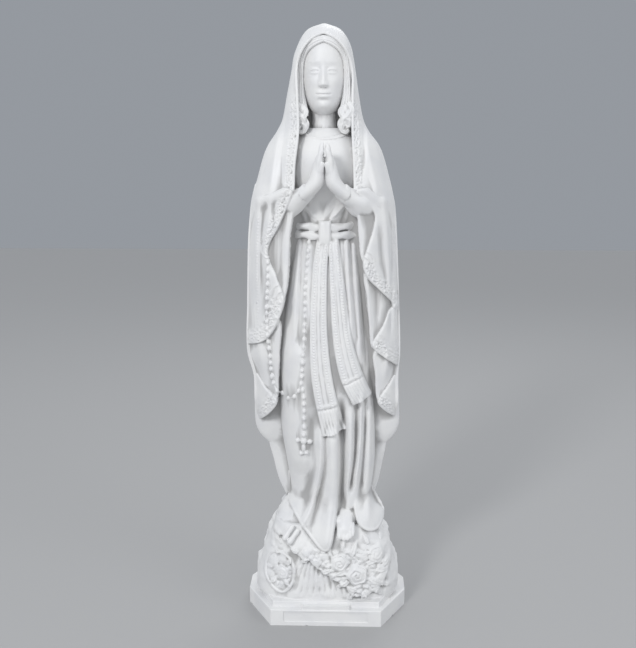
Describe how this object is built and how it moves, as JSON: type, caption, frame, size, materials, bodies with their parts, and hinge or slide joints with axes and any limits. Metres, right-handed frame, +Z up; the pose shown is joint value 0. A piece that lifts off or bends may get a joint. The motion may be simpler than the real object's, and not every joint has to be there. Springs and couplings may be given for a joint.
{
  "type": "garden statue",
  "caption": "White cast concrete garden statue of a standing veiled woman at prayer, with rosary and sash, on a rose-strewn rock and a low octagonal plinth.",
  "frame": {"origin": "middle of the plinth's flat underside", "axes": "+Z up the figure, -Y towards the viewer, the way the figure faces, +X to the viewer's right"},
  "size_m": [0.2874, 0.236, 1.04],
  "materials": {
    "concrete": "smooth white cast concrete, matt to satin"
  },
  "bodies": {
    "root": {"statue": "concrete"}
  },
  "joints": []
}
